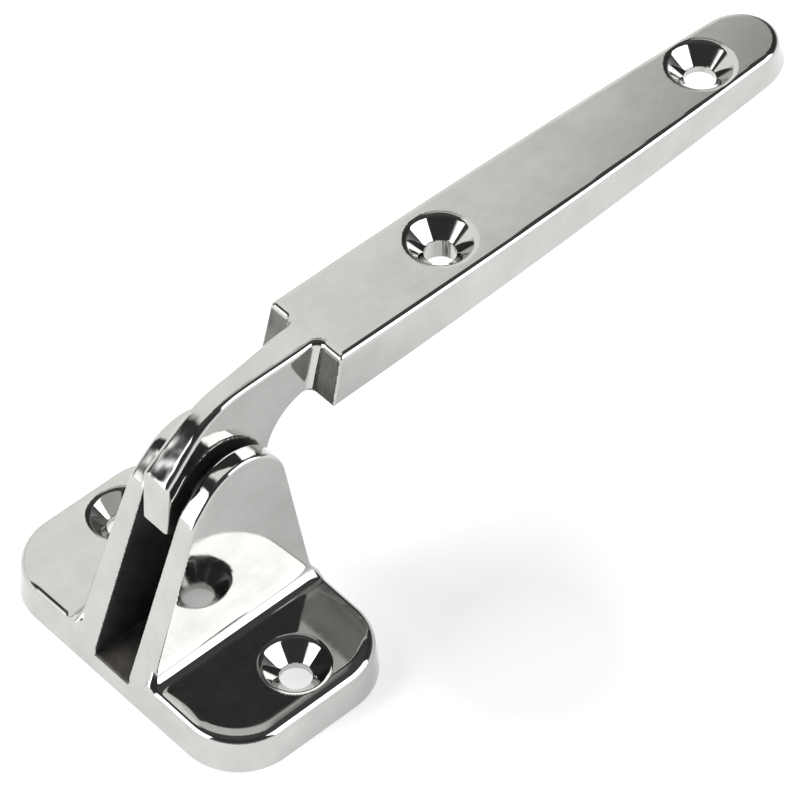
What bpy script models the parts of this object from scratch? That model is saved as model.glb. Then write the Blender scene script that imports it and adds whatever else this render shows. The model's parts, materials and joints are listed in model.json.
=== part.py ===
"""Goose-neck strap hinge: a screw-down base bracket with two cheeks, a strap arm whose narrow neck
dips between them, and the pivot pin and washers that join the two. Metres, +Z up.

The base stands on Z = 0 with its centre at the origin. The strap points along +X when the hinge
is closed, and the pivot runs along Y."""

import math

import bmesh
import bpy

# Base plate: X is along the strap, Y is along the pivot.
BASE_WIDTH = 0.0329
BASE_LENGTH = 0.0526
BASE_CORNER = 0.0098
PLATE_THICKNESS = 0.0070
PLATE_FOOT = 0.0008  # radius of the softened bottom edge
PLATE_DRAFT = 0.0006  # how far each side wall leans in before its rounded top edge
PLATE_EDGE = 0.0012  # radius of the rounded top edge
POCKET_DEPTH = 0.0028  # cored underside, one pocket under each flange
POCKET_RIM = 0.0030
POCKET_INNER = 0.0100

# Upright cheeks, with the slot between them.
SLOT_WIDTH = 0.0072
SLOT_FLOOR = 0.0040
CHEEK_TOP_HALF = 0.0064  # half-width over both cheeks at the pivot's height plus CHEEK_RADIUS
CHEEK_DRAFT = math.radians(2.9)
CHEEK_RADIUS = 0.0081  # rounded top, centred on the pivot
CHEEK_FILLET = 0.0022
CHEEK_FRONT_FOOT = (-0.0160, 0.0050)
CHEEK_FRONT_HEAD = (-0.0054, 0.0322)
CHEEK_BACK_FOOT = (0.0153, 0.0050)
WEB_TOP = 0.0172  # back web between the cheeks: the closed stop for the arm's tail
WEB_FRONT = 0.0092
WEB_FOOT = 0.0060

# Pivot.
PIVOT_X = 0.0035
PIVOT_Z = 0.0297
PIN_RADIUS = 0.0025
PIN_FIT = 0.00003  # pin in the cheeks
PIN_RUNNING = 0.0001  # pin in the arm
PIN_BLIND = 0.0018  # how deep the pin enters the -Y cheek
STOP_GAP = 0.0002
WASHER_RADIUS = 0.0055
WASHER_THICKNESS = 0.0008

# Screws: 90 degree countersinks for a 4.5 mm screw.
SCREW_RADIUS = 0.00235
SINK_RADIUS = 0.0050
BASE_SCREW_X = 0.0021
BASE_SCREW_Y = 0.0186
STRAP_SCREW_X = (0.0465, 0.0975)

# Strap arm.
STRAP_TOP = 0.0469
STRAP_START = 0.0214
STRAP_TIP = 0.1111
STRAP_END_RUN = 0.0064  # length of the elliptical end
STRAP_HALF_START = 0.0072
STRAP_HALF_END = 0.0057
STRAP_BULGE = 0.0006  # how far each long edge bows out of straight
STRAP_THICK_START = 0.0088
STRAP_THICK_END = 0.0059
STRAP_DRAFT = 0.0004  # how much wider each side is at the underside
TIP_LEAN = 0.0023  # how much further the tip reaches at the underside
SHOULDER_LEAN = 0.0019  # the shoulders' lower edge stands this far nearer the pivot
STRAP_EDGE = 0.0007
STRAP_POCKET_RIM = 0.0022
STRAP_POCKETS = ((0.0345, 0.0590, 0.0016), (0.0840, 0.1040, 0.0022))  # from, to, depth
KNUCKLE_HALF = 0.0026  # half-width of the knuckle that turns on the pin
KNUCKLE_TOP = 0.0360  # above this height the neck tapers
NECK_HALF = 0.0019  # half-width at the top of the bend
NECK_FLARE_FROM = 0.0090  # from here to the shoulders the neck widens to KNUCKLE_HALF
NECK_FILLET = 0.0013
NECK_TOP = 0.0457
NECK_BEND = (0.0083, 0.0320, 0.0137)  # centre X, Z and radius of the neck's outer bend
NECK_CORNER = (-0.0067, 0.0367)
NECK_HEEL = (-0.0071, 0.0277)
NECK_THROAT = (0.0202, 0.0300, 0.0083)  # centre X, Z and radius of the neck's inner curve
TAIL_BACK = 0.0125
TAIL_FRONT = 0.0050

ROUND = 64  # sides of a round face
PAST = 0.001  # how far a cutter runs past the face it opens
SUNK = 0.0008  # how far an added body runs into the one it joins
PARTS = bpy.data.collections.new("Goose-neck hinge")
CUTTERS = bpy.data.collections.new("Goose-neck hinge cutters")


def clear_scene():
    for obj in list(bpy.data.objects):
        bpy.data.objects.remove(obj, do_unlink=True)
    for collection in (PARTS, CUTTERS):
        bpy.context.scene.collection.children.link(collection)


def arc(x, z, radius, start, end, count):
    """Points of an arc, with the angles in degrees."""
    steps = [math.radians(start + (end - start) * i / count) for i in range(count + 1)]
    return [(x + radius * math.cos(a), z + radius * math.sin(a)) for a in steps]


def loft(name, rings, collection):
    """A closed solid through rings of equally many points, capped at both ends."""
    bm = bmesh.new()
    made = [[bm.verts.new(point) for point in ring] for ring in rings]
    for lower, upper in zip(made, made[1:]):
        for i, corner in enumerate(lower):
            j = (i + 1) % len(lower)
            bm.faces.new((corner, lower[j], upper[j], upper[i]))
    bm.faces.new(reversed(made[0]))
    bm.faces.new(made[-1])
    bmesh.ops.recalc_face_normals(bm, faces=bm.faces)
    mesh = bpy.data.meshes.new(name)
    bm.to_mesh(mesh)
    bm.free()
    obj = bpy.data.objects.new(name, mesh)
    collection.objects.link(obj)
    if collection is CUTTERS:
        obj.hide_render = True
        obj.display_type = "WIRE"
    return obj


def prism(name, outline, low, high, collection=CUTTERS):
    """The (x, z) outline, stretched along Y from low to high. Each is a Y, or a function of (x, z)."""
    sides = [side if callable(side) else lambda x, z, y=side: y for side in (low, high)]
    return loft(name, [[(x, side(x, z), z) for x, z in outline] for side in sides], collection)


def turned(name, profile, x, y, collection=CUTTERS):
    """A solid of revolution about the vertical line through (x, y), from (radius, z) points."""
    rings = [
        [(x + px, y + py, z) for px, py in arc(0, 0, radius, 0, 360 * (1 - 1 / ROUND), ROUND - 1)]
        for radius, z in profile
    ]
    return loft(name, rings, collection)


def washer(name, side):
    """A thin ring round the pin, filling the gap between the knuckle and the cheek on that side."""
    gap = (SLOT_WIDTH / 2 - KNUCKLE_HALF - WASHER_THICKNESS) / 2
    inner, outer = PIN_RADIUS + PIN_RUNNING, WASHER_RADIUS
    low, high = KNUCKLE_HALF + gap, KNUCKLE_HALF + gap + WASHER_THICKNESS
    bm = bmesh.new()
    rings = [
        [
            bm.verts.new((PIVOT_X + px, side * y, PIVOT_Z + pz))
            for px, pz in arc(0, 0, radius, 0, 360 * (1 - 1 / ROUND), ROUND - 1)
        ]
        for radius, y in ((inner, low), (outer, low), (outer, high), (inner, high))
    ]
    for ring, following in zip(rings, rings[1:] + rings[:1]):
        for i, corner in enumerate(ring):
            j = (i + 1) % ROUND
            bm.faces.new((corner, ring[j], following[j], following[i]))
    bmesh.ops.recalc_face_normals(bm, faces=bm.faces)
    mesh = bpy.data.meshes.new(name)
    bm.to_mesh(mesh)
    bm.free()
    obj = bpy.data.objects.new(name, mesh)
    PARTS.objects.link(obj)
    return obj


def cylinder_y(name, radius, low, high, chamfer=0.0, collection=CUTTERS):
    """A round bar along the pivot."""
    small = radius - chamfer
    ends = [(small, low), (radius, low + chamfer), (radius, high - chamfer), (small, high)]
    ends = ends if chamfer else ends[::3]
    rings = [
        [(PIVOT_X + px, y, PIVOT_Z + pz) for px, pz in arc(0, 0, r, 0, 360 * (1 - 1 / ROUND), ROUND - 1)]
        for r, y in ends
    ]
    return loft(name, rings, collection)


def combine(target, other, operation):
    """Adds a Boolean of this operation to target. The other body is kept as a helper."""
    modifier = target.modifiers.new(f"{operation.title()} {other.name}", "BOOLEAN")
    modifier.operation = operation
    modifier.solver = "EXACT"
    modifier.object = other


def finish(obj, name, colour, roughness):
    """Names the piece and gives it its material."""
    obj.name = name
    material = bpy.data.materials.new(name)
    material.use_nodes = True
    shader = material.node_tree.nodes["Principled BSDF"]
    shader.inputs["Base Color"].default_value = (*colour, 1.0)
    shader.inputs["Roughness"].default_value = roughness
    shader.inputs["Metallic"].default_value = 1.0
    obj.data.materials.append(material)


def origin_to_pivot(obj):
    """Puts the object's origin on the joint axis. The solid stays where it is."""
    for vertex in obj.data.vertices:
        vertex.co.x -= PIVOT_X
        vertex.co.z -= PIVOT_Z
    obj.location = (PIVOT_X, 0.0, PIVOT_Z)


def rounded_rectangle(half_x, half_y, radius, z):
    ring = []
    for sign_x, sign_y, start in ((1, 1, 0), (-1, 1, 90), (-1, -1, 180), (1, -1, 270)):
        centre = (sign_x * (half_x - radius), sign_y * (half_y - radius))
        ring += [(x, y, z) for x, y in arc(*centre, radius, start, start + 90, 12)]
    return ring


def on_line(foot, head, z):
    return foot[0] + (head[0] - foot[0]) * (z - foot[1]) / (head[1] - foot[1])


def cheek_half(x, z):
    """Half-width over both cheeks at height z."""
    return CHEEK_TOP_HALF + (PIVOT_Z + CHEEK_RADIUS - z) * math.tan(CHEEK_DRAFT)


def cheek_back_head():
    """Where the back line from its foot touches the rounded top."""
    foot_x, foot_z = CHEEK_BACK_FOOT
    reach = math.hypot(foot_x - PIVOT_X, foot_z - PIVOT_Z)
    angle = math.atan2(foot_z - PIVOT_Z, foot_x - PIVOT_X) + math.acos(CHEEK_RADIUS / reach)
    return math.degrees(angle)


def cheek_outline():
    """Side view of a cheek, from the back foot round the top to the front foot."""
    back = cheek_back_head()
    top = arc(PIVOT_X, PIVOT_Z, CHEEK_RADIUS, back, 138, 28)
    return [CHEEK_BACK_FOOT, *top, CHEEK_FRONT_HEAD, CHEEK_FRONT_FOOT]


def build_bracket():
    half_x, half_y = BASE_WIDTH / 2, BASE_LENGTH / 2
    side = PLATE_THICKNESS - PLATE_EDGE
    rings = []
    for out, up in arc(-PLATE_FOOT, PLATE_FOOT, PLATE_FOOT, -90, 0, 3):
        rings.append(rounded_rectangle(half_x + out, half_y + out, BASE_CORNER + out, up))
    for out, up in arc(-PLATE_EDGE, side, PLATE_EDGE, 0, 90, 4):
        inset = PLATE_DRAFT - out
        rings.append(rounded_rectangle(half_x - inset, half_y - inset, BASE_CORNER - 2 * inset, up))
    bracket = loft("base_bracket", rings, PARTS)

    upright = prism("cheeks", cheek_outline(), lambda x, z: -cheek_half(x, z), cheek_half)
    combine(bracket, upright, "UNION")
    root = cheek_half(0, PLATE_THICKNESS)
    centre = root + CHEEK_FILLET * (1 - math.sin(CHEEK_DRAFT)) / math.cos(CHEEK_DRAFT)
    turn = 180 + math.degrees(CHEEK_DRAFT)
    curve = arc(centre, PLATE_THICKNESS + CHEEK_FILLET, CHEEK_FILLET, 270, turn, 6)
    section = [(root - SUNK, PLATE_THICKNESS - SUNK), (centre, PLATE_THICKNESS - SUNK), *curve]
    section.append((root - SUNK, curve[-1][1]))
    back_head = cheek_outline()[1]
    for sign, label in ((1, "left"), (-1, "right")):
        front = [(on_line(CHEEK_FRONT_FOOT, CHEEK_FRONT_HEAD, z), sign * y, z) for y, z in section]
        back = [(on_line(CHEEK_BACK_FOOT, back_head, z) - 0.0002, sign * y, z) for y, z in section]
        combine(bracket, loft(f"{label}_fillet", [front, back], CUTTERS), "UNION")

    slot = [
        (-half_x - PAST, SLOT_FLOOR),
        (WEB_FOOT, SLOT_FLOOR),
        (WEB_FRONT, WEB_TOP),
        (half_x + PAST, WEB_TOP),
        (half_x + PAST, PIVOT_Z + CHEEK_RADIUS + PAST),
        (-half_x - PAST, PIVOT_Z + CHEEK_RADIUS + PAST),
    ]
    combine(bracket, prism("slot", slot, -SLOT_WIDTH / 2, SLOT_WIDTH / 2), "DIFFERENCE")

    for sign, label in ((1, "left"), (-1, "right")):
        depth = SINK_RADIUS - SCREW_RADIUS
        profile = [
            (SCREW_RADIUS, -PAST),
            (SCREW_RADIUS, PLATE_THICKNESS - depth),
            (SINK_RADIUS + PAST, PLATE_THICKNESS + PAST),
        ]
        sink = turned(f"{label}_countersink", profile, BASE_SCREW_X, sign * BASE_SCREW_Y)
        combine(bracket, sink, "DIFFERENCE")
        pocket_x, pocket_y = half_x - POCKET_RIM, half_y - POCKET_RIM
        middle, half = (pocket_y + POCKET_INNER) / 2, (pocket_y - POCKET_INNER) / 2
        ring = rounded_rectangle(pocket_x, half, 0.0040, 0.0)
        rings = [[(x, y + sign * middle, z) for x, y, _ in ring] for z in (-PAST, POCKET_DEPTH)]
        combine(bracket, loft(f"{label}_pocket", rings, CUTTERS), "DIFFERENCE")

    bore_start = -SLOT_WIDTH / 2 - PIN_BLIND - 0.0001
    bore = cylinder_y("pin_hole", PIN_RADIUS + PIN_FIT, bore_start, 0.020)
    combine(bracket, bore, "DIFFERENCE")
    finish(bracket, "base_bracket", (0.60, 0.59, 0.57), 0.06)
    return bracket


def strap_half(x):
    """Half-width of the strap before its rounded end."""
    straight = STRAP_TIP - STRAP_END_RUN
    s = (x - STRAP_START) / (straight - STRAP_START)
    return STRAP_HALF_START + (STRAP_HALF_END - STRAP_HALF_START) * s + 4 * STRAP_BULGE * s * (1 - s)


def strap_under(x):
    """Height of the strap's underside, which rises towards the tip."""
    s = (x - STRAP_START) / (STRAP_TIP - STRAP_START)
    return STRAP_TOP - STRAP_THICK_START + (STRAP_THICK_START - STRAP_THICK_END) * s


def strap_ring(height, inset, lift):
    """The strap's plan outline, pulled in by inset and raised by lift. Height is 0 below and 1 on top."""
    straight = STRAP_TIP - STRAP_END_RUN
    grow = STRAP_DRAFT * (1 - height) - inset
    reach = STRAP_END_RUN + TIP_LEAN * (1 - height) - inset
    start = STRAP_START - SHOULDER_LEAN * (1 - height) + inset
    half = STRAP_HALF_END + grow
    right = [(straight * i / 12 + STRAP_START * (12 - i) / 12) for i in range(13)]
    right = [(start if i == 0 else x, -strap_half(x) - grow) for i, x in enumerate(right)]
    tip = [(straight + reach * x, half * y) for x, y in arc(0, 0, 1, -90, 90, 20)[1:-1]]
    ring = right + tip + [(x, -y) for x, y in reversed(right)]
    return [(x, y, (STRAP_TOP if height else strap_under(x)) + lift) for x, y in ring]


def knuckle_outline():
    """Side view of the knuckle, from its front corner round below to the throat."""
    throat_x, throat_z, throat = NECK_THROAT
    tail_z = WEB_TOP + STOP_GAP
    end = 180 - math.degrees(math.asin((KNUCKLE_TOP - throat_z) / throat))
    return [
        (NECK_CORNER[0], KNUCKLE_TOP),
        NECK_HEEL,
        (TAIL_FRONT, tail_z),
        (TAIL_BACK, tail_z),
        (TAIL_BACK, 0.0265),
        *arc(throat_x, throat_z, throat, 176, end, 8),
    ]


def bend_outline(start):
    """Side view of the neck above the knuckle, from the strap back to start, or over the whole bend."""
    bend_x, bend_z, bend = NECK_BEND
    throat_x, throat_z, throat = NECK_THROAT
    deep = STRAP_START + 0.004
    low = KNUCKLE_TOP - 0.0001
    begin = 180 - math.degrees(math.asin((low - throat_z) / throat))
    root = [(deep, strap_under(deep) + 0.0004), (deep, STRAP_TOP - 0.0002)]
    root.append((STRAP_START - 0.0005, STRAP_TOP - 0.0003))
    if start > bend_x:
        over = [(start, NECK_TOP), (start, low)]
    else:
        over = arc(bend_x, bend_z, bend, 90, 133, 18)
        over += [(NECK_CORNER[0] + 0.0005, NECK_CORNER[1] + 0.0005), (NECK_CORNER[0], low)]
    return root + over + arc(throat_x, throat_z, throat, begin, 100, 10)


def build_arm():
    """Strap, neck and knuckle: one casting."""
    rings = [
        strap_ring(0, STRAP_EDGE, 0.0),
        strap_ring(0, 0.0, STRAP_EDGE),
        strap_ring(1, 0.0, -STRAP_EDGE),
        strap_ring(1, STRAP_EDGE, 0.0),
    ]
    arm = loft("strap_arm", rings, PARTS)

    taper = (KNUCKLE_HALF - NECK_HALF) / (NECK_TOP - KNUCKLE_TOP)
    flare = (KNUCKLE_HALF - NECK_HALF) / (STRAP_START - NECK_FLARE_FROM)

    def bend_half(x, z):
        return KNUCKLE_HALF - taper * (z - KNUCKLE_TOP)

    def root_half(x, z):
        return NECK_HALF + flare * (x - NECK_FLARE_FROM)

    for label, start, half in (("root", NECK_FLARE_FROM, root_half), ("bend", 0.0, bend_half)):
        body = prism(label, bend_outline(start), lambda x, z, side=half: -side(x, z), half)
        combine(arm, body, "UNION")
    combine(arm, prism("knuckle", knuckle_outline(), -KNUCKLE_HALF, KNUCKLE_HALF), "UNION")

    half = KNUCKLE_HALF
    reach = STRAP_START - NECK_FILLET
    for sign, label in ((1, "left"), (-1, "right")):
        curve = arc(reach, sign * (half + NECK_FILLET), NECK_FILLET, -90 * sign, 0, 5)
        root_x, root_y = STRAP_START + 2 * SUNK, sign * (half - SUNK)
        plan = [*curve, (root_x, curve[-1][1]), (root_x, root_y), (reach, root_y)]
        low, high = strap_under(STRAP_START) + 0.0006, STRAP_TOP - 0.0006
        rings = [[(x - SHOULDER_LEAN, y, low) for x, y in plan], [(x, y, high) for x, y in plan]]
        combine(arm, loft(f"{label}_neck_fillet", rings, CUTTERS), "UNION")

    depth = SINK_RADIUS - SCREW_RADIUS
    for x, (start, end, deep) in zip(STRAP_SCREW_X, STRAP_POCKETS):
        profile = [
            (SCREW_RADIUS, STRAP_TOP - STRAP_THICK_START - PAST),
            (SCREW_RADIUS, STRAP_TOP - depth),
            (SINK_RADIUS + PAST, STRAP_TOP + PAST),
        ]
        combine(arm, turned(f"strap_sink_{x * 1000:.0f}", profile, x, 0.0), "DIFFERENCE")
        corners = ((start, 1), (start, -1), (end, -1), (end, 1))
        plan = [(px, side * (strap_half(px) - STRAP_POCKET_RIM)) for px, side in corners]
        rings = [[(px, py, strap_under(px) + up) for px, py in plan] for up in (-PAST, deep)]
        combine(arm, loft(f"strap_pocket_{x * 1000:.0f}", rings, CUTTERS), "DIFFERENCE")

    combine(arm, cylinder_y("arm_bore", PIN_RADIUS + PIN_RUNNING, -0.010, 0.010), "DIFFERENCE")
    finish(arm, "strap_arm", (0.60, 0.59, 0.57), 0.06)
    return arm


def build_pin():
    """The pin goes in from the +Y side, and stops inside the -Y cheek."""
    low = -SLOT_WIDTH / 2 - PIN_BLIND
    high = cheek_half(PIVOT_X, PIVOT_Z) - 0.0002
    pin = cylinder_y("pivot_pin", PIN_RADIUS, low, high, 0.0002, PARTS)
    finish(pin, "pivot_pin", (0.56, 0.56, 0.55), 0.15)
    return pin


def build_washers():
    for side, name in ((1, "washer_left"), (-1, "washer_right")):
        finish(washer(name, side), name, (0.55, 0.55, 0.54), 0.25)


def main():
    clear_scene()
    build_bracket()
    build_arm()
    build_pin()
    build_washers()
    for name in ("strap_arm", "pivot_pin", "washer_left", "washer_right"):
        origin_to_pivot(bpy.data.objects[name])


main()
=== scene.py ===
"""Goose-neck strap hinge in polished chrome, with its pin and washers.

Each casting is a fine mesh of one solid formula, so that its edges are softly rounded and its mirror
finish has smooth normals. Shapes are worked out in millimetres, in the frame of the model: the strap
points along +X, the pivot runs along Y, and the base stands on Z = 0. Lights, the camera and the
materials are in metres."""

import json
import math

import bpy
import numpy as np
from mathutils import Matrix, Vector


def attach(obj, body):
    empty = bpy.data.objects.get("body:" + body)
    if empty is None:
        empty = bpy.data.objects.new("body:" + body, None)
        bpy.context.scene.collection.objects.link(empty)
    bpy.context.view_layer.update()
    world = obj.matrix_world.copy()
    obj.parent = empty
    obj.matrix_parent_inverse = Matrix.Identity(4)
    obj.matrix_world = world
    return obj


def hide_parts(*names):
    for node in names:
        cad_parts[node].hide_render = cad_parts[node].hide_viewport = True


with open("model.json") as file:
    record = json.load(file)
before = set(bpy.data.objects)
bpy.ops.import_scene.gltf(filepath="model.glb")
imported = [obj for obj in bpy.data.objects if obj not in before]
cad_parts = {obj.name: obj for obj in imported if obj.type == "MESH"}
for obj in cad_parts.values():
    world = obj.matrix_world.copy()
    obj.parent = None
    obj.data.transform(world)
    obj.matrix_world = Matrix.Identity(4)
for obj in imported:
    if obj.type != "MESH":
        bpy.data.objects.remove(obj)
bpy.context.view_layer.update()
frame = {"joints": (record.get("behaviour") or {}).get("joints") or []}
scene = bpy.context.scene

PIVOT_X, _, PIVOT_Z = (1000 * place for place in frame["joints"][0]["pos_m"])
PIN_RADIUS = 2.5
STEP = 0.27  # spacing of the strap arm's surface points
BRACKET_STEP = 1.12 * STEP
FAR = 60.0  # how far an edge runs that only has to leave the solid

# Screws: 90 degree countersinks.
SCREW_RADIUS = 2.35
SINK_RADIUS = 5.0

# Base plate. Its sides lean in up to LEAN_TOP, and its top falls a little towards its edge.
PLATE = (16.45, 26.3, 9.8)  # half-lengths along X and Y, and corner radius
PLATE_TOP = 7.0
PLATE_EDGE = 1.2  # radius of the rounded top edge
PLATE_FRONT_EDGE = 1.5  # the same, between the cheeks
PLATE_FOOT = 0.8  # radius of the softened bottom edge
PLATE_LEAN = 0.6
LEAN_TOP = 5.8
CROWN_START = 9.0  # beyond this distance along Y the top slopes down
CROWN_SLOPE = 0.017
RIM_WIDTH = 2.5  # the top falls by RIM_FALL over this last stretch
RIM_FALL = 0.17
BASE_SCREW = (2.1, 18.6, 6.85)  # X, Y and the rim's height
BASE_SINK_EDGE = 0.35
POCKET = (13.45, 6.65, 4.0)  # cored underside: half-lengths and corner radius
POCKET_Y = 16.65
POCKET_TOP = 2.8
POCKET_ROUND = 0.8
POCKET_EDGE = 0.4

# Cheeks, with the slot between them. The web closes the back of the slot up to WEB_TOP.
CHEEK_HALF = 6.4  # half-width over both cheeks at their top
CHEEK_RADIUS = 8.1
CHEEK_TOP = PIVOT_Z + CHEEK_RADIUS
CHEEK_DRAFT = math.radians(2.9)
CHEEK_FOOT = 1.0  # the cheeks reach down to this height inside the plate
CHEEK_EDGE = 0.55
CHEEK_FRONT_EDGE = 0.5
CHEEK_STEEP = math.radians(46.5)  # slope of the short edge from the rounded top to the front
CHEEK_FRONT = ((-5.4, 32.2), (-16.0, 5.0))  # head and foot of the leaning front
CHEEK_BACK_FOOT = (15.3, 5.0)
CHEEK_FILLET = 2.2
SLOT_HALF = 3.6
SLOT_FLOOR = 4.0
WEB_TOP = 17.2
WEB_FRONT = ((9.2, WEB_TOP), (6.0, SLOT_FLOOR))
WEB_ROUND = 1.0
SLOT_ROUND = 0.3
SLOT_EDGE = 0.4
BORE_RADIUS = 2.53
BORE_END = -5.5  # the bore stops inside the -Y cheek
BORE_EDGE = 0.2

# Strap. It tapers in width and thickness, and each side widens towards the underside.
STRAP_START = 21.4
STRAP_STRAIGHT = 83.3  # from STRAP_START to STRAP_END
STRAP_END = 104.7  # where the rounded tip begins
STRAP_LENGTH = 89.7  # from the shoulders to the tip, along the top
STRAP_TOP = 46.9
STRAP_UNDER = 38.1  # height of the underside at the shoulders
STRAP_RISE = 2.9  # how much higher it is at the tip
STRAP_HALF = 7.2
STRAP_TAPER = 1.5  # how much narrower each side is at STRAP_END
STRAP_BULGE = 0.6  # how far each long edge bows out of straight
STRAP_DRAFT = 0.4
STRAP_EDGE = 0.8
TIP_HALF = 5.7
TIP_RUN = 6.4
TIP_LEAN = 2.3  # how much further the tip reaches at the underside
SHOULDER_LEAN = 1.9  # how much nearer the pivot the shoulders are at the underside
SHOULDER_EDGE = 0.4
STRAP_HOLES = ((46.5, 34.5, 59.0, 1.6), (97.5, 84.0, 104.0, 2.2))  # screw, pocket's ends and depth
STRAP_SINK_EDGE = 0.3
STRAP_POCKET_RIM = 2.2
STRAP_POCKET_ROUND = 0.6

# Neck, knuckle and the flat tail that stops the arm.
NECK_HALF = 2.6
NECK_WAIST = 0.7  # how much narrower each side is at the top of the bend
NECK_END = 26.0  # inside the strap
NECK_FILLET = 1.3
NECK_EDGE = 0.5
UNDER_EDGE = 0.4
BEND = (8.3, 32.0)  # centre of the neck's outer bend
BEND_RADIUS = 13.7
BEND_STEEP = math.radians(43.1)  # slope of the neck below its bend
SPINE_TOP = 33.2  # the strap's top less BEND_RADIUS
SPINE_END = 150.0
NECK_BROW = (-6.65, 36.0)
NECK_HEEL = (-7.1, 27.7)
TAIL_TOE = (5.0, 17.4)  # front end of the tail's flat foot
TAIL_BACK = 12.5
THROAT = (20.2, 29.75)  # centre of the neck's inner curve
THROAT_RADIUS = 8.3
KNUCKLE_BORE = 2.6

# Washers: hole and rim radius, and the faces' distances from the middle.
WASHER_HOLE, WASHER_RIM = 2.6, 5.5
WASHER_INNER, WASHER_OUTER = 2.7, 3.5


# ---------------------------------------------------------------- solid formulas (negative inside)


def cut(a, b, r=0.0):
    """Where both a and b hold, with the edge between them rounded to radius r."""
    if r == 0:
        return np.maximum(a, b)
    return np.minimum(-r, np.maximum(a, b)) + np.hypot(np.maximum(a + r, 0), np.maximum(b + r, 0))


def join(a, b, r=0.0):
    """Where a or b holds, with a fillet of radius r between them."""
    return -cut(-a, -b, r)


def line(x, z, start, end):
    """Signed distance to a line. It is positive on the right-hand side going from start to end."""
    dx, dz = end[0] - start[0], end[1] - start[1]
    return ((x - start[0]) * dz - (z - start[1]) * dx) / math.hypot(dx, dz)


def polygon(x, z, corners):
    """Signed distance to a polygon in the x, z plane."""
    nearest, inside = None, False
    for (ax, az), (bx, bz) in zip(corners, corners[1:] + corners[:1]):
        ex, ez = bx - ax, bz - az
        t = np.clip(((x - ax) * ex + (z - az) * ez) / (ex * ex + ez * ez), 0, 1)
        away = np.hypot(x - ax - t * ex, z - az - t * ez)
        nearest = away if nearest is None else np.minimum(nearest, away)
        crosses = (az <= z) != (bz <= z)
        inside = inside ^ (crosses & (x < ax + (z - az) / (ez or 1e-9) * ex))
    return np.where(inside, -nearest, nearest)


def rounded_rectangle(x, y, half_x, half_y, r):
    """Signed distance to a rectangle about the origin, with corners of radius r."""
    qx, qy = np.abs(x) - half_x + r, np.abs(y) - half_y + r
    return np.hypot(np.maximum(qx, 0), np.maximum(qy, 0)) + np.minimum(np.maximum(qx, qy), 0) - r


def screw_hole(x, y, z, at_x, at_y, top):
    """The hollow of a countersunk hole whose rim is at height top."""
    rho = np.hypot(x - at_x, y - at_y)
    cone = (rho - SINK_RADIUS - (z - top)) * math.sqrt(0.5)
    return np.maximum(np.minimum(rho - SCREW_RADIUS, cone), z - top - 1.0)


def from_pivot(x, z):
    return np.hypot(x - PIVOT_X, z - PIVOT_Z)


def smooth_step(t):
    """0 up to t = 0, and 1 from t = 1."""
    t = np.clip(t, 0, 1)
    return t * t * (3 - 2 * t)


def base_plate(x, y, z, outline, front):
    """The plate, whose front is flush with the cheeks' leaning front between them."""
    beside = np.abs(y)
    fall = CROWN_SLOPE * np.maximum(beside - CROWN_START, 0)
    fall = fall + RIM_FALL * smooth_step(1 + outline / RIM_WIDTH)
    fall = fall * smooth_step((beside - 6.5) / 3.0)
    plate = cut(outline, z - PLATE_TOP + fall, PLATE_EDGE)
    flush = np.maximum(cut(outline, front, PLATE_FRONT_EDGE), z - PLATE_TOP)
    between = (1 - smooth_step((beside - 6.9) / 1.0)) * (x < 0)
    return cut(plate + (flush - plate) * between, -z, PLATE_FOOT)


def both_cheeks(x, y, z, outline, front):
    """One solid over both cheeks, before the slot. Its back edge is tangent to the rounded top."""
    foot_x, foot_z = CHEEK_BACK_FOOT[0] - PIVOT_X, CHEEK_BACK_FOOT[1] - PIVOT_Z
    back = math.atan2(foot_z, foot_x) + math.acos(CHEEK_RADIUS / math.hypot(foot_x, foot_z))
    far_front = (PIVOT_X - FAR * math.cos(CHEEK_STEEP), PIVOT_Z - FAR * math.sin(CHEEK_STEEP))
    far_back = (PIVOT_X + FAR * math.sin(back), PIVOT_Z - FAR * math.cos(back))
    side = polygon(x, z, [(PIVOT_X, PIVOT_Z), far_front, far_back]) - CHEEK_RADIUS
    side = cut(side, front, CHEEK_FRONT_EDGE)
    wall = np.abs(y) - CHEEK_HALF - (CHEEK_TOP - z) * math.tan(CHEEK_DRAFT)
    cheeks = cut(side, wall * math.cos(CHEEK_DRAFT), CHEEK_EDGE)
    return np.maximum(cheeks, np.maximum(CHEEK_FOOT - z, outline))


def bracket(x, y, z):
    outline = rounded_rectangle(x, y, *PLATE) + PLATE_LEAN * np.clip(z / LEAN_TOP, 0, 1)
    front = line(x, z, *CHEEK_FRONT)
    plate = base_plate(x, y, z, outline, front)
    cheeks = both_cheeks(x, y, z, outline, front)

    # The fillet fades in beside the cheeks and above the plate's side walls.
    plain = np.minimum(plate, cheeks)
    beside = smooth_step((np.abs(y) - 6.6) / 1.2)
    above = smooth_step((z - 5.0) / 1.2)
    body = plain + (join(plate, cheeks, CHEEK_FILLET) - plain) * beside * above
    body = np.maximum(body, outline)

    web = cut(SLOT_FLOOR - z, -line(x, z, *WEB_FRONT), WEB_ROUND)
    slot = cut(np.abs(y) - SLOT_HALF, np.minimum(WEB_TOP - z, web), SLOT_ROUND)
    body = cut(body, -slot, SLOT_EDGE)
    screw_x, screw_y, rim = BASE_SCREW
    for sign in (1, -1):
        body = cut(body, -screw_hole(x, y, z, screw_x, sign * screw_y, rim), BASE_SINK_EDGE)
        pocket = cut(rounded_rectangle(x, y - sign * POCKET_Y, *POCKET), z - POCKET_TOP, POCKET_ROUND)
        body = cut(body, -pocket, POCKET_EDGE)
    bore = np.maximum(from_pivot(x, z) - BORE_RADIUS, BORE_END - y)
    return cut(body, -bore, BORE_EDGE)


def strap_under(x):
    """Height of the strap's underside."""
    return STRAP_UNDER + (x - STRAP_START) * STRAP_RISE / STRAP_LENGTH


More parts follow.
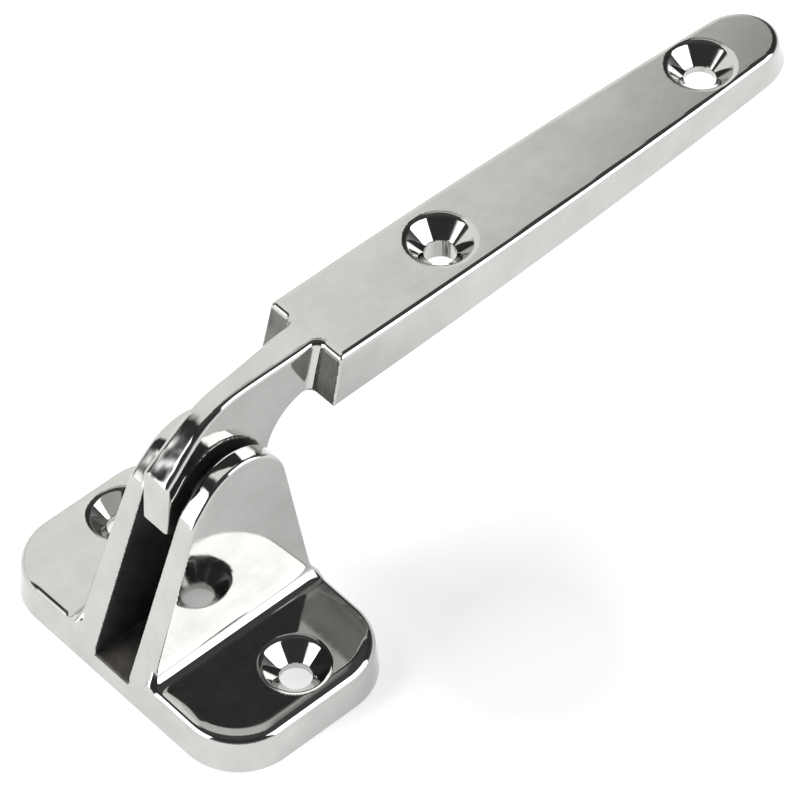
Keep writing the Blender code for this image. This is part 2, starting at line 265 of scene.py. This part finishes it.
def arm_side_view(x, z):
    """The neck's outer bend and top, its front face, its heel, the throat and the underside."""
    far_front = (BEND[0] - FAR * math.cos(BEND_STEEP), BEND[1] - FAR * math.sin(BEND_STEEP))
    spine = [BEND, (STRAP_START, SPINE_TOP), (SPINE_END, SPINE_TOP), (SPINE_END, -FAR), far_front]
    view = polygon(x, z, spine) - BEND_RADIUS
    view = cut(view, line(x, z, NECK_BROW, NECK_HEEL), NECK_EDGE)
    view = cut(view, line(x, z, NECK_HEEL, TAIL_TOE), NECK_EDGE)
    view = cut(view, TAIL_TOE[1] - z, NECK_EDGE)
    throat = np.hypot(x - THROAT[0], z - THROAT[1]) - THROAT_RADIUS
    gap = np.minimum(throat, np.maximum(TAIL_BACK - x, z - THROAT[1]))
    gap = np.minimum(gap, np.maximum(THROAT[0] - x, z - strap_under(x)))
    return cut(view, -gap, UNDER_EDGE)


def strap_sides(x, y, lower):
    """Signed distance to the strap's long sides. Lower is 0 at the top and 1 at the underside."""
    s = (x - STRAP_START) / STRAP_STRAIGHT
    half = STRAP_HALF - STRAP_TAPER * s + 4 * STRAP_BULGE * s * (1 - s)
    return np.abs(y) - half - STRAP_DRAFT * lower


def arm_plan(x, y, z, lower, sides):
    """A narrow neck that widens a little into the strap's square shoulders, and the rounded tip."""
    narrow = smooth_step((z - 34.0) / 11.7) * (1 - smooth_step((x - 6.0) / 15.4))
    neck = np.maximum(np.abs(y) - NECK_HALF + NECK_WAIST * narrow, x - NECK_END)
    reach, half = TIP_RUN + TIP_LEAN * lower, TIP_HALF + STRAP_DRAFT * lower
    dx = np.maximum(x - STRAP_END, 0)
    near = np.hypot(dx / reach, y / half)
    round_tip = near * (near - 1) / np.maximum(np.hypot(dx / reach**2, y / half**2), 1e-6)
    plan = np.where(x > STRAP_END, round_tip, sides)
    plan = cut(plan, STRAP_START - SHOULDER_LEAN * lower - x, SHOULDER_EDGE)
    return join(neck, plan, NECK_FILLET)


def arm(x, y, z):
    under = strap_under(x)
    lower = 1 - np.clip((z - under) / (STRAP_TOP - under), 0, 1)
    sides = strap_sides(x, y, lower)
    body = cut(arm_plan(x, y, z, lower, sides), arm_side_view(x, z), STRAP_EDGE)
    for at_x, start, end, deep in STRAP_HOLES:
        body = cut(body, -screw_hole(x, y, z, at_x, 0.0, STRAP_TOP), STRAP_SINK_EDGE)
        ends = np.abs(x - (start + end) / 2) - (end - start) / 2
        pocket = cut(np.maximum(ends, sides + STRAP_POCKET_RIM), z - under - deep, STRAP_POCKET_ROUND)
        body = cut(body, -pocket, POCKET_EDGE)
    return cut(body, KNUCKLE_BORE - from_pivot(x, z), BORE_EDGE)


# ---------------------------------------------------------------- meshes


def slope(solid, points, h=0.02):
    """The gradient of the solid's formula, from differences over h."""
    grown = np.zeros_like(points)
    for axis in range(3):
        step = np.zeros(3)
        step[axis] = h
        grown[:, axis] = (solid(*(points + step).T) - solid(*(points - step).T)) / (2 * h)
    return grown


def skin(solid, low, high, step):
    """Vertices, faces and unit normals of the solid's surface. The box from low to high encloses it."""
    low = np.array(low) - 1.5 * step
    counts = np.ceil((np.array(high) - low) / step).astype(int) + 2
    x, y, z = (low[i] + step * np.arange(counts[i]) for i in range(3))
    values = solid(x[:, None, None], y[None, :, None], z[None, None, :])
    inside = values < 0

    # One vertex in each cell that the surface crosses, at the mean of its edges' crossings.
    corners = [np.array((i, j, k)) for i in (0, 1) for j in (0, 1) for k in (0, 1)]
    filled = 0
    for corner in corners:
        window = tuple(slice(c, n - 1 + c) for c, n in zip(corner, counts))
        filled = filled + inside[window].astype(np.int8)
    active = (filled > 0) & (filled < 8)
    cells = np.argwhere(active)
    index = np.full(active.shape, -1, np.int64)
    index[active] = np.arange(len(cells))
    total, found = np.zeros((len(cells), 3)), np.zeros(len(cells))
    for a in corners:
        for axis in range(3):
            if a[axis]:
                continue
            b = a.copy()
            b[axis] = 1
            at_a, at_b = values[tuple((cells + a).T)], values[tuple((cells + b).T)]
            crossed = (at_a < 0) != (at_b < 0)
            t = np.where(crossed, at_a / np.where(crossed, at_a - at_b, 1), 0)
            total += crossed[:, None] * (a + t[:, None] * (b - a))
            found += crossed
    points = low + (cells + total / found[:, None]) * step

    # One face across each grid edge that the surface crosses.
    faces = []
    for axis in range(3):
        b, c = (axis + 1) % 3, (axis + 2) % 3
        ahead = tuple(slice(1, None) if i == axis else slice(None) for i in range(3))
        behind = tuple(slice(None, -1) if i == axis else slice(None) for i in range(3))
        edges = np.argwhere(inside[behind] != inside[ahead])
        step_b, step_c = np.eye(3, dtype=int)[b], np.eye(3, dtype=int)[c]
        around = (0 * step_b, step_b, step_b + step_c, step_c)
        quads = np.stack([index[tuple((edges - back).T)] for back in around], 1)
        outward = inside[tuple(edges.T)]
        faces.append(np.where(outward[:, None], quads, quads[:, ::-1]))

    # The vertices are moved onto the surface itself.
    for _ in range(4):
        normal = slope(solid, points)
        move = solid(*points.T) / np.maximum((normal**2).sum(1), 0.05)
        points = points - np.clip(move, -0.4 * step, 0.4 * step)[:, None] * normal
    normal = slope(solid, points)
    return points, np.concatenate(faces), normal / np.linalg.norm(normal, axis=1)[:, None]


def piece(name, points, faces, normals, materials, choose=None):
    """A mesh object with these normals. Choose gives each face's material, from its middle and normal."""
    mesh = bpy.data.meshes.new(name)
    mesh.vertices.add(len(points))
    mesh.vertices.foreach_set("co", (points / 1000).astype(np.float32).ravel())
    mesh.loops.add(faces.size)
    mesh.loops.foreach_set("vertex_index", faces.astype(np.int32).ravel())
    mesh.polygons.add(len(faces))
    mesh.polygons.foreach_set("loop_start", np.arange(0, faces.size, faces.shape[1], dtype=np.int32))
    if choose:
        middles, facing = points[faces].mean(1), normals[faces].mean(1)
        mesh.polygons.foreach_set("material_index", choose(*middles.T, *facing.T).astype(np.int32))
    mesh.update(calc_edges=True)
    mesh.shade_smooth()
    mesh.normals_split_custom_set_from_vertices(normals)
    for material in materials:
        mesh.materials.append(material)
    obj = bpy.data.objects.new(name, mesh)
    scene.collection.objects.link(obj)
    return obj


def turned(name, section, material, count=128, bend=6):
    """A piece turned about the pivot, from (radius, y, softness) corners that run round the section.
    Each corner is rounded in bend steps, and the turn has count."""
    rings, facing = [], []
    size = len(section)
    for i, (r, y, soft) in enumerate(section):
        before, after = np.array(section[i - 1][:2]), np.array(section[(i + 1) % size][:2])
        here = np.array((r, y))
        into = (here - before) / np.linalg.norm(here - before)
        out = (after - here) / np.linalg.norm(after - here)
        side_in, side_out = np.array((into[1], -into[0])), np.array((out[1], -out[0]))
        for k in range(bend + 1):
            t = k / bend
            start, end = here - soft * into, here + soft * out
            rings.append((1 - t) ** 2 * start + 2 * t * (1 - t) * here + t * t * end)
            facing.append(side_in * (1 - t) + side_out * t)
    rings, facing = np.array(rings), np.array(facing)
    turn = np.arange(count) * 2 * math.pi / count
    c, s = np.cos(turn)[None, :, None], np.sin(turn)[None, :, None]

    def around(pairs, x, z):
        r, y = pairs[:, None, :1], pairs[:, None, 1:]
        return np.concatenate([x + r * c, y + 0 * c, z + r * s], 2).reshape(-1, 3)

    points, normals = around(rings, PIVOT_X, PIVOT_Z), around(facing, 0.0, 0.0)
    normals /= np.linalg.norm(normals, axis=1)[:, None]
    ring, spoke = np.meshgrid(np.arange(len(rings)), np.arange(count), indexing="ij")
    ahead, beside = (ring + 1) % len(rings) * count, (spoke + 1) % count
    faces = np.stack([ring * count + spoke, ahead + spoke, ahead + beside, ring * count + beside], 2)
    faces = faces.reshape(-1, 4)
    corners = points[faces]
    made = np.cross(corners[:, 2] - corners[:, 0], corners[:, 3] - corners[:, 1])
    if (made * normals[faces].mean(1)).sum() < 0:
        faces = faces[:, ::-1]
    return piece(name, points, faces, normals, [material])


# ---------------------------------------------------------------- materials


def nodes_of(material):
    material.use_nodes = True
    tree = material.node_tree
    return tree, tree.nodes["Principled BSDF"]


def add(tree, kind, **settings):
    """A new node. Each setting is the value of the input of that name, or else of the property."""
    node = tree.nodes.new(kind)
    for key, value in settings.items():
        if key in node.inputs:
            node.inputs[key].default_value = value
        else:
            setattr(node, key, value)
    return node


def noise(tree, where, scale, detail=2.0, roughness=0.5, stretch=(1, 1, 1)):
    mapping = add(tree, "ShaderNodeMapping")
    mapping.inputs["Scale"].default_value = stretch
    tree.links.new(where, mapping.inputs["Vector"])
    node = add(tree, "ShaderNodeTexNoise", Scale=scale, Detail=detail, Roughness=roughness)
    tree.links.new(mapping.outputs["Vector"], node.inputs["Vector"])
    return node.outputs["Fac"]


def ranged(tree, value, low, high, start=0.3, end=0.7):
    """Low where the value is start or less, and high where it is end or more."""
    node = add(tree, "ShaderNodeMapRange")
    node.inputs["From Min"].default_value = start
    node.inputs["From Max"].default_value = end
    node.inputs["To Min"].default_value = low
    node.inputs["To Max"].default_value = high
    tree.links.new(value, node.inputs["Value"])
    return node.outputs["Result"]


def mixer(tree, factor):
    """A colour mix by this factor: its first and second colour inputs, and its output."""
    node = add(tree, "ShaderNodeMix", data_type="RGBA")
    tree.links.new(factor, node.inputs["Factor"])
    first, second = [socket for socket in node.inputs if socket.type == "RGBA"]
    return first, second, [socket for socket in node.outputs if socket.type == "RGBA"][0]


def mixed(tree, factor, dark, light):
    first, second, colour = mixer(tree, factor)
    first.default_value = (*dark, 1)
    second.default_value = (*light, 1)
    return colour


def bumps(tree, shader, layers):
    """Stacks (height, distance) layers of bump."""
    last = None
    for height, distance in layers:
        node = add(tree, "ShaderNodeBump", Strength=1.0, Distance=distance)
        tree.links.new(height, node.inputs["Height"])
        if last:
            tree.links.new(last.outputs["Normal"], node.inputs["Normal"])
        last = node
    tree.links.new(last.outputs["Normal"], shader.inputs["Normal"])


def distance_to(tree, where, spot):
    node = add(tree, "ShaderNodeVectorMath", operation="DISTANCE")
    node.inputs[1].default_value = spot
    tree.links.new(where, node.inputs[0])
    return node.outputs["Value"]


HAMMERED_AT = (-0.004, 0.0, 0.041)
HAMMERED_FULL, HAMMERED_NONE = 0.0075, 0.011  # distances from there


def chrome(name, dark, light, waves, hammered):
    """Mirror polish: soft waviness, hairline polishing marks along X, and faint clouding. Hammered is
    the depth of the short dimples that the hand polish leaves round the curved parts by the pivot."""
    material = bpy.data.materials.new(name)
    tree, shader = nodes_of(material)
    where = add(tree, "ShaderNodeTexCoord").outputs["Object"]
    shader.inputs["Metallic"].default_value = 1.0
    cloud = noise(tree, where, scale=160, detail=4, roughness=0.6)
    tree.links.new(mixed(tree, ranged(tree, cloud, 0, 1), dark, light), shader.inputs["Base Color"])
    hairs = noise(tree, where, scale=900, detail=3, roughness=0.6, stretch=(0.06, 1, 1))
    smear = noise(tree, where, scale=340, detail=5, roughness=0.65)
    rough = add(tree, "ShaderNodeMath", operation="ADD")
    tree.links.new(ranged(tree, smear, 0.035, 0.085), rough.inputs[0])
    tree.links.new(ranged(tree, hairs, 0.0, 0.03, start=0.5, end=0.75), rough.inputs[1])
    tree.links.new(rough.outputs[0], shader.inputs["Roughness"])
    swell = noise(tree, where, scale=70, detail=1, roughness=0.4)
    grain = noise(tree, where, scale=1500, detail=2, roughness=0.5)
    away = distance_to(tree, where, HAMMERED_AT)
    near = ranged(tree, away, 1.0, 0.0, start=HAMMERED_FULL, end=HAMMERED_NONE)
    dimples = add(tree, "ShaderNodeMath", operation="MULTIPLY")
    tree.links.new(noise(tree, where, scale=290, detail=1, roughness=0.5), dimples.inputs[0])
    tree.links.new(near, dimples.inputs[1])
    layers = [(swell, waves), (dimples.outputs[0], hammered), (hairs, 0.0000006), (grain, 0.0000005)]
    bumps(tree, shader, layers)
    return material


def rough_cast(name, dark, light, roughness, scale, depth):
    """Unpolished casting skin. Some materials made with it are darkened further, as painted shade in the
    slot and on the shoulders' end faces.
    """
    material = bpy.data.materials.new(name)
    tree, shader = nodes_of(material)
    where = add(tree, "ShaderNodeTexCoord").outputs["Object"]
    shader.inputs["Metallic"].default_value = 0.85
    grain = noise(tree, where, scale, detail=6, roughness=0.65)
    patch = noise(tree, where, scale / 7, detail=3, roughness=0.5)
    tree.links.new(mixed(tree, ranged(tree, patch, 0, 1), dark, light), shader.inputs["Base Color"])
    tree.links.new(ranged(tree, grain, roughness - 0.1, roughness + 0.12), shader.inputs["Roughness"])
    bumps(tree, shader, [(patch, depth * 2), (grain, depth)])
    return material


def brushed(name, colour):
    """Ground steel, with rings about the pivot on its end faces."""
    material = bpy.data.materials.new(name)
    tree, shader = nodes_of(material)
    where = add(tree, "ShaderNodeTexCoord").outputs["Object"]
    offset = add(tree, "ShaderNodeVectorMath", operation="SUBTRACT")
    offset.inputs[1].default_value = (PIVOT_X / 1000, 0, PIVOT_Z / 1000)
    tree.links.new(where, offset.inputs[0])
    flat = add(tree, "ShaderNodeVectorMath", operation="MULTIPLY")
    flat.inputs[1].default_value = (1, 0, 1)
    tree.links.new(offset.outputs[0], flat.inputs[0])
    radius = add(tree, "ShaderNodeVectorMath", operation="LENGTH")
    tree.links.new(flat.outputs[0], radius.inputs[0])
    rings = add(tree, "ShaderNodeTexNoise", noise_dimensions="1D", Scale=9000.0, Detail=3.0)
    tree.links.new(radius.outputs["Value"], rings.inputs["W"])
    shader.inputs["Metallic"].default_value = 1.0
    dull = tuple(0.8 * c for c in colour)
    stain = ranged(tree, noise(tree, where, scale=400, detail=4), 0, 1)
    tree.links.new(mixed(tree, stain, dull, colour), shader.inputs["Base Color"])
    tree.links.new(ranged(tree, rings.outputs["Fac"], 0.18, 0.34), shader.inputs["Roughness"])
    pits = noise(tree, where, scale=1200, detail=3)
    bumps(tree, shader, [(rings.outputs["Fac"], 0.000004), (pits, 0.000001)])
    return material


# ---------------------------------------------------------------- pieces


def bracket_finish(x, y, z, facing_x, facing_y, facing_z):
    """Which of the bracket's materials each face has. The slot's materials are darkened as painted shade
    in the recess.
    """
    polished, wall, skin_below, floor = range(4)
    turned_in = (np.abs(facing_y) > 0.5) | (facing_z > 0.3) | (x > -14.5) & (facing_x < 0.5)
    # Faces in the slot: the walls get unpolished skin darkened as painted shade, and the floor gets a
    # darker painted shade.
    slot = (np.abs(y) < SLOT_HALF + 0.08) & (z > SLOT_FLOOR - 0.4) & turned_in
    inside_walls = (rounded_rectangle(x, y, *PLATE) < -2.0) & (np.abs(y) > 9.4)
    under = inside_walls & (z < POCKET_TOP + 0.2) | (z < 0.1)
    in_slot = np.where((facing_z > 0.3) & (z < 8.0), floor, wall)
    return np.where(slot, in_slot, np.where(under, skin_below, polished))


def arm_finish(x, y, z, facing_x, facing_y, facing_z):
    """Which of the arm's materials each face has. The shoulders' end faces get half-polished skin darkened
    as painted shade.
    """
    polished, skin_below, shoulder_end_painted_shade = range(3)
    in_pocket = (np.abs(y) < 5.3) & (np.abs(x - 71) > 12) & (x < 104.4)
    below = (x > 24.0) & (z < strap_under(x) + 2.4) & ((facing_z < -0.75) | in_pocket)
    hole = np.zeros_like(below)
    for at_x, *_ in STRAP_HOLES:
        hole = hole | (np.hypot(x - at_x, y) < SCREW_RADIUS + 0.15)
    # The shoulders' end faces, in the corner by the neck: half-polished skin, darker as painted shade.
    end = (x < 21.2) & (z > 37.5) & (facing_x < -0.85) & (np.abs(y) > 3.4)
    return np.where(end, shoulder_end_painted_shade, np.where(below & ~hole, skin_below, polished))


def make_bracket(casting_skin):
    polished = chrome("Chrome bracket", (0.45, 0.453, 0.44), (0.51, 0.513, 0.50), 0.00003, 0.00011)
    # The slot wall material is unpolished skin darkened as painted shade. The slot floor material is
    # darker still, painted shade.
    wall = rough_cast("Slot skin with painted shade", (0.12, 0.122, 0.12), (0.27, 0.26, 0.25), 0.45, 900, 0.00004)
    floor = rough_cast("Slot floor painted shade", (0.03, 0.031, 0.03), (0.20, 0.185, 0.17), 0.5, 1400, 0.00012)
    surface = skin(bracket, (-16.5, -26.4, 0), (16.5, 26.4, 38), BRACKET_STEP)
    return piece("bracket", *surface, [polished, wall, casting_skin, floor], bracket_finish)


def make_arm(casting_skin):
    polished = chrome("Chrome arm", (0.455, 0.458, 0.445), (0.515, 0.518, 0.505), 0.00001, 0.0001)
    dark, light = (0.07, 0.072, 0.07), (0.24, 0.235, 0.22)
    # Half-polished skin on the shoulders' end faces, darkened as painted shade and as a painted reflection
    # of shadowed floor.
    shoulder = rough_cast("Half polished shoulder with painted shade", dark, light, 0.22, 700, 0.00008)
    surface = skin(arm, (-7.5, -8, 17), (114, 8, 47), STEP)
    return piece("arm", *surface, [polished, casting_skin, shoulder], arm_finish)


def make_pin():
    """The pin. Its blind end has a rounded rim, and its flush end is crowned, with a small dimple."""
    flush = CHEEK_HALF + CHEEK_RADIUS * math.tan(CHEEK_DRAFT)
    section = [
        (0.02, -5.35, 0.0),
        (PIN_RADIUS, -5.35, 0.25),
        (PIN_RADIUS, flush - 0.25, 0.3),
        (0.9, flush - 0.1, 0.3),
        (0.02, flush - 0.3, 0.0),
    ]
    return turned("pin", section, brushed("Ground pin steel", (0.56, 0.55, 0.54)))


def make_washer(label, side, steel):
    """A washer on the +Y side or, where side is -1, its mirror image, whose section runs backwards."""
    section = [
        (WASHER_HOLE, side * WASHER_INNER, 0.08),
        (WASHER_RIM, side * WASHER_INNER, 0.15),
        (WASHER_RIM, side * WASHER_OUTER, 0.15),
        (WASHER_HOLE, side * WASHER_OUTER, 0.08),
    ]
    return turned(f"washer_{label}_ring", section[::side], steel)


underside_dark, underside_light = (0.13, 0.129, 0.126), (0.23, 0.226, 0.22)
underside = rough_cast("Plated casting skin", underside_dark, underside_light, 0.34, 1100, 0.00004)
washer_steel = brushed("Washer steel", (0.52, 0.515, 0.51))
for obj, node, body, slot in (
    (make_bracket(underside), "base_bracket", "base", "base_bracket"),
    (make_arm(underside), "strap_arm", "arm", "strap_arm"),
    (make_pin(), "pivot_pin", "base", "pivot_pin"),
    (make_washer("left", 1, washer_steel), "washer_left", "base", "washer"),
    (make_washer("right", -1, washer_steel), "washer_right", "base", "washer"),
):
    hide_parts(node)
    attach(obj, body)


# ---------------------------------------------------------------- studio


def towards(azimuth, elevation):
    """Unit vector with this azimuth, from +X towards +Y, and this height above the horizon, in degrees."""
    a, e = math.radians(azimuth), math.radians(elevation)
    return np.array((math.cos(a) * math.cos(e), math.sin(a) * math.cos(e), math.sin(e)))


def softbox(azimuth, elevation, half_wide, half_high, soft):
    """Four straight edges round this direction. Each is the way out across the edge, and its softness."""
    ahead, above = towards(azimuth, elevation), towards(azimuth, elevation + 90)
    beside = np.cross(above, ahead)
    edges = []
    for way, half in ((beside, half_wide), (-beside, half_wide), (above, half_high), (-above, half_high)):
        half = math.radians(half)
        edges.append((way * math.cos(half) - ahead * math.sin(half), soft))
    return edges


# The room's grey, by height above the horizon from 0 to 1.
ROOM = ((0.0, 0.75), (0.10, 0.35), (0.30, 0.07), (0.68, 0.05), (0.79, 0.08), (1.0, 0.10))
BACKDROP = [
    (towards(-49.7, 0.0), 0.14),
    (towards(221.0, 0.0), 0.05),
    (towards(-74.6, 23.7), 0.035),
    (towards(82.0, -85.0), 0.10),
]
PANELS = (
    ((0.85, 0.85, 0.82), softbox(66.0, 68.0, 14.0, 9.0, 0.04)),
    ((1.30, 1.31, 1.25), BACKDROP),
    ((4.2, 4.2, 4.2), softbox(-55.0, 25.0, 24.0, 21.3, 0.025)),
    ((4.2, 4.2, 4.2), softbox(166.5, 15.0, 18.0, 20.0, 0.045)),
)

# Name, place, diameter and power of each lamp.
LAMPS = (("Key", (-0.55, 0.35, 0.75), 0.5, 8.0), ("Fill", (0.1, 0.0, 1.2), 1.2, 4.0))
LIT_SPOT = Vector((0.03, 0, 0.02))
# Centre of the floor's painted shadow, where its painted glow is lowest.
PAINTED_SHADOW_SPOT = (0.032, -0.034, 0.0)


def make_floor():
    """A pale floor that glows as painted light, though it is no lamp, and glows less about a spot beside
    the base: a painted shadow, which the neck's near side mirrors.
    """
    mesh = bpy.data.meshes.new("Floor")
    half, drop = 6.0, 0.0003
    corners = [(i * half, j * half, -drop) for i, j in ((-1, -1), (1, -1), (1, 1), (-1, 1))]
    mesh.from_pydata(corners, [], [(0, 1, 2, 3)])
    floor = bpy.data.objects.new("Floor", mesh)
    scene.collection.objects.link(floor)
    material = bpy.data.materials.new("Pale floor")
    tree, shader = nodes_of(material)
    where = add(tree, "ShaderNodeTexCoord").outputs["Object"]
    cloud = ranged(tree, noise(tree, where, scale=8, detail=3), 0, 1)
    colour = mixed(tree, cloud, (0.30, 0.30, 0.30), (0.33, 0.33, 0.33))
    tree.links.new(colour, shader.inputs["Base Color"])
    shader.inputs["Roughness"].default_value = 0.9
    shader.inputs["Emission Color"].default_value = (1.0, 1.0, 0.995, 1)
    # Painted light and shadow: the floor's glow is lowest about the painted shadow spot and rises further
    # away.
    away = distance_to(tree, where, PAINTED_SHADOW_SPOT)
    painted_glow_and_shadow = ranged(tree, away, 0.49, 0.86, start=0.012, end=0.040)
    tree.links.new(painted_glow_and_shadow, shader.inputs["Emission Strength"])
    shader.inputs["Specular IOR Level"].default_value = 0.1
    mesh.materials.append(material)


def make_sky():
    """A dark room with a pale backdrop behind the object, and a softbox on each side and overhead."""
    world = bpy.data.worlds.new("Studio")
    scene.world = world
    world.use_nodes = True
    tree = world.node_tree
    background = tree.nodes["Background"]
    direction = add(tree, "ShaderNodeTexCoord").outputs["Generated"]
    parts = add(tree, "ShaderNodeSeparateXYZ")
    tree.links.new(direction, parts.inputs[0])
    ramp = add(tree, "ShaderNodeValToRGB")
    tree.links.new(parts.outputs["Z"], ramp.inputs["Fac"])
    while len(ramp.color_ramp.elements) < len(ROOM):
        ramp.color_ramp.elements.new(0.5)
    for element, (at, value) in zip(ramp.color_ramp.elements, ROOM):
        element.position = at
        element.color = (value, value, value, 1)

    def product(a, b):
        node = add(tree, "ShaderNodeMath", operation="MULTIPLY")
        tree.links.new(a, node.inputs[0])
        tree.links.new(b, node.inputs[1])
        return node.outputs[0]

    def along(vector):
        node = add(tree, "ShaderNodeVectorMath", operation="DOT_PRODUCT")
        node.inputs[1].default_value = vector
        tree.links.new(direction, node.inputs[0])
        return node.outputs["Value"]

    def fade(value, full, none):
        """1 where value is below full, falling smoothly to 0 at none."""
        node = add(tree, "ShaderNodeMapRange", interpolation_type="SMOOTHSTEP")
        node.inputs["From Min"].default_value = none
        node.inputs["From Max"].default_value = full
        tree.links.new(value, node.inputs["Value"])
        return node.outputs["Result"]

    colour = ramp.outputs["Color"]
    for value, edges in PANELS:
        mask = None
        for outwards, soft in edges:
            part = fade(along(outwards), -soft, soft)
            mask = part if mask is None else product(mask, part)
        first, second, result = mixer(tree, mask)
        tree.links.new(colour, first)
        second.default_value = (*value, 1)
        colour = result
    tree.links.new(colour, background.inputs["Color"])
    background.inputs["Strength"].default_value = 1.0


def make_lights():
    for label, place, size, power in LAMPS:
        data = bpy.data.lights.new(label, "AREA")
        data.shape = "DISK"
        data.size = size
        data.energy = power
        light = bpy.data.objects.new(label, data)
        scene.collection.objects.link(light)
        light.location = place
        light.rotation_euler = (LIT_SPOT - light.location).to_track_quat("-Z", "Y").to_euler()
        light.visible_glossy = False


def make_camera():
    data = bpy.data.cameras.new("Camera")
    camera = bpy.data.objects.new("Camera", data)
    scene.collection.objects.link(camera)
    camera.location = (-0.29011, -0.3594, 0.571)
    camera.rotation_euler = Vector(towards(47.53, -48.5)).to_track_quat("-Z", "Y").to_euler()
    data.sensor_width = 36
    data.lens = 232.1
    data.clip_start, data.clip_end = 0.02, 30
    scene.camera = camera


make_floor()
make_sky()
make_lights()
make_camera()
scene.view_settings.view_transform = "Standard"
